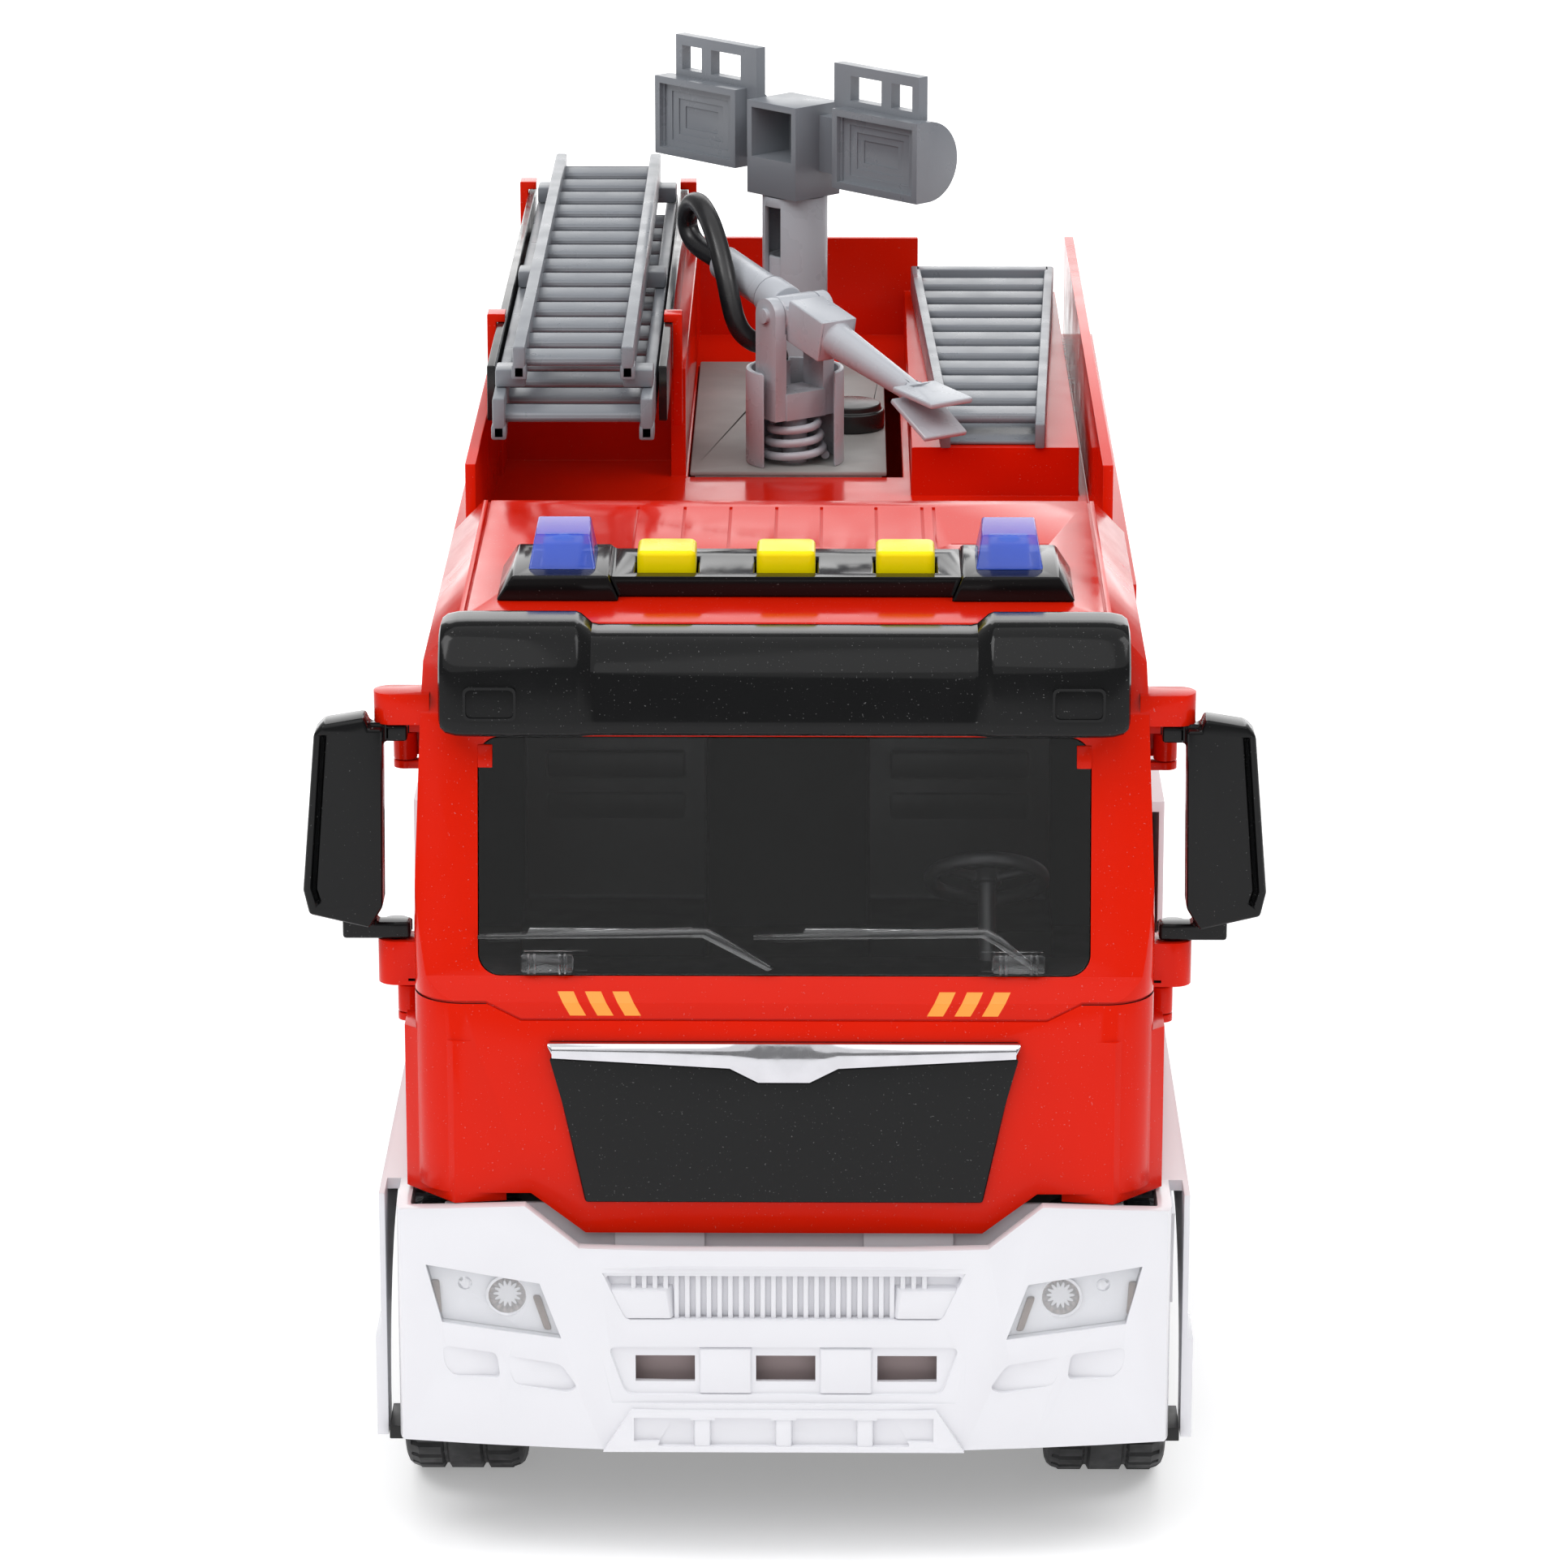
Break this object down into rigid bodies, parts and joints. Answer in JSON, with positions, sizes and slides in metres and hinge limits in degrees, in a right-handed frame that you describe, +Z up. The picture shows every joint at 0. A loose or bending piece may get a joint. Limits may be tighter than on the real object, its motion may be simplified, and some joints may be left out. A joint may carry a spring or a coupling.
{
  "type": "toy fire engine",
  "caption": "Toy fire engine with opening doors, folding mirrors, push buttons, friction drive, pumped water monitor, sliding ladder and telescopic lamp mast.",
  "frame": {"origin": "on the ground under the middle of the vehicle, at the bottom centre of its bounding box", "axes": "+Z up, -Y forwards (the front bumper), +X to the right as seen from the front"},
  "size_m": [0.1692, 0.346, 0.2209],
  "materials": {
    "black_base": "matt moulded",
    "white_plastic": "gloss moulded",
    "clear_plastic": "clear",
    "chrome_trim": "vacuum plated",
    "steel": "plain",
    "silver_plastic": "silver",
    "tyre_rubber": "matt",
    "nylon": "natural",
    "speaker_black": "matt",
    "red_plastic": "gloss moulded",
    "gloss_black": "gloss moulded",
    "interior_black": "satin",
    "wheel_grey": "satin",
    "blue_clear": "tinted clear",
    "yellow_plastic": "gloss moulded",
    "board_green": "solder mask",
    "dark_grey_plate": "matt",
    "tank_white": "natural",
    "cap_black": "satin",
    "light_grey_plastic": "satin",
    "hose_rubber": "satin",
    "cradle_black": "satin",
    "grey_plastic": "satin"
  },
  "bodies": {
    "vehicle": {"chassis_base": "black_base", "battery_door": "black_base", "gearbox_frame": "black_base", "lower_shell": "white_plastic", "front_bumper": "white_plastic", "headlight_lens_left": "clear_plastic", "headlight_lens_right": "clear_plastic", "windscreen": "clear_plastic", "headlight_reflector_left": "chrome_trim", "headlight_reflector_right": "chrome_trim", "grille_trim": "chrome_trim", "chassis_screws": "steel", "speaker": "speaker_black", "cab_shell": "red_plastic", "body_shell": "red_plastic", "grille_panel": "gloss_black", "visor": "gloss_black", "light_bar": "gloss_black", "cab_interior": "interior_black", "steering_wheel": "wheel_grey", "beacon_left": "blue_clear", "beacon_right": "blue_clear", "switch_board": "board_green", "tank_cover": "dark_grey_plate", "water_tank": "tank_white", "filler_cap": "cap_black", "pump_tower": "light_grey_plastic", "mast_tube": "light_grey_plastic", "ladder_cradle": "cradle_black", "lower_ladder": "grey_plastic", "equipment_rack": "grey_plastic"},
    "front_wheels": {"front_axle": "steel", "hub_front_left": "silver_plastic", "hub_front_right": "silver_plastic", "tyre_front_left": "tyre_rubber", "tyre_front_right": "tyre_rubber"},
    "rear_wheels": {"rear_axle": "steel", "drive_gear": "nylon", "hub_rear_left": "silver_plastic", "hub_rear_right": "silver_plastic", "tyre_rear_left": "tyre_rubber", "tyre_rear_right": "tyre_rubber"},
    "idler": {"idler_gear": "nylon"},
    "motor_wheel": {"flywheel": "steel"},
    "left_door": {"door_left": "red_plastic", "door_window_left": "clear_plastic"},
    "right_door": {"door_right": "red_plastic", "door_window_right": "clear_plastic"},
    "left_mirror": {"mirror_left": "gloss_black"},
    "right_mirror": {"mirror_right": "gloss_black"},
    "push_left": {"button_left": "yellow_plastic"},
    "push_centre": {"button_centre": "yellow_plastic"},
    "push_right": {"button_right": "yellow_plastic"},
    "turntable": {"pump_spring": "light_grey_plastic"},
    "pump_handle": {"pump_fork": "light_grey_plastic", "hose": "hose_rubber"},
    "spray_nozzle": {"nozzle": "light_grey_plastic"},
    "top_ladder": {"upper_ladder": "grey_plastic"},
    "mast": {"mast_post": "light_grey_plastic"},
    "floodlight": {"lamp_head": "grey_plastic"}
  },
  "joints": [
    {"name": "front_axle_spin", "type": "hinge", "parent": "vehicle", "child": "front_wheels", "pos_m": [0, -0.121, 0.025], "axis": [1, 0, 0], "continuous": true},
    {"name": "rear_axle_spin", "type": "hinge", "parent": "vehicle", "child": "rear_wheels", "pos_m": [0, 0.095, 0.025], "axis": [1, 0, 0], "continuous": true},
    {"name": "idler_spin", "type": "hinge", "parent": "vehicle", "child": "idler", "pos_m": [0, 0.10303, 0.03303], "axis": [1, 0, 0], "continuous": true},
    {"name": "flywheel_spin", "type": "hinge", "parent": "vehicle", "child": "motor_wheel", "pos_m": [0, 0.11105, 0.04105], "axis": [1, 0, 0], "continuous": true},
    {"name": "left_door_hinge", "type": "hinge", "parent": "vehicle", "child": "left_door", "pos_m": [-0.0672, -0.1397, 0.118], "axis": [0, 0, 1], "range_deg": [0, 65]},
    {"name": "right_door_hinge", "type": "hinge", "parent": "vehicle", "child": "right_door", "pos_m": [0.0672, -0.1397, 0.118], "axis": [0, 0, -1], "range_deg": [0, 65]},
    {"name": "left_mirror_fold", "type": "hinge", "parent": "vehicle", "child": "left_mirror", "pos_m": [-0.0686, -0.15, 0.13], "axis": [0, 0, 1], "range_deg": [-35, 40]},
    {"name": "right_mirror_fold", "type": "hinge", "parent": "vehicle", "child": "right_mirror", "pos_m": [0.0686, -0.15, 0.13], "axis": [0, 0, -1], "range_deg": [-35, 40]},
    {"name": "left_button_press", "type": "slide", "parent": "vehicle", "child": "push_left", "axis": [0, 0, -1], "range_m": [0, 0.0012], "stiffness_N_per_m": 900, "springref_m": -0.0008},
    {"name": "centre_button_press", "type": "slide", "parent": "vehicle", "child": "push_centre", "axis": [0, 0, -1], "range_m": [0, 0.0012], "stiffness_N_per_m": 900, "springref_m": -0.0008},
    {"name": "right_button_press", "type": "slide", "parent": "vehicle", "child": "push_right", "axis": [0, 0, -1], "range_m": [0, 0.0012], "stiffness_N_per_m": 900, "springref_m": -0.0008},
    {"name": "monitor_turn", "type": "hinge", "parent": "vehicle", "child": "turntable", "pos_m": [0.0005, 0.0445, 0.16], "axis": [0, 0, 1], "range_deg": [-50, 3]},
    {"name": "pump_press", "type": "slide", "parent": "turntable", "child": "pump_handle", "axis": [0, 0, -1], "range_m": [0, 0.004], "stiffness_N_per_m": 500, "springref_m": -0.002, "deforming": ["pump_spring"]},
    {"name": "nozzle_tilt", "type": "hinge", "parent": "pump_handle", "child": "spray_nozzle", "pos_m": [0.0005, 0.0445, 0.182], "axis": [0.809, 0.5878, 0], "range_deg": [-25, 2], "deforming": ["hose"]},
    {"name": "ladder_slide", "type": "slide", "parent": "vehicle", "child": "top_ladder", "axis": [0, 1, 0], "range_m": [0, 0.11]},
    {"name": "mast_lift", "type": "slide", "parent": "vehicle", "child": "mast", "axis": [0, 0, 1], "range_m": [0, 0.018]},
    {"name": "head_turn", "type": "hinge", "parent": "mast", "child": "floodlight", "pos_m": [0, 0.122, 0.2], "axis": [0, 0, 1], "range_deg": [-170, 170]}
  ],
  "couplings": [
    {"joint": "idler_spin", "follows": "rear_axle_spin", "ratio": -2.5},
    {"joint": "flywheel_spin", "follows": "rear_axle_spin", "ratio": 6.25}
  ]
}
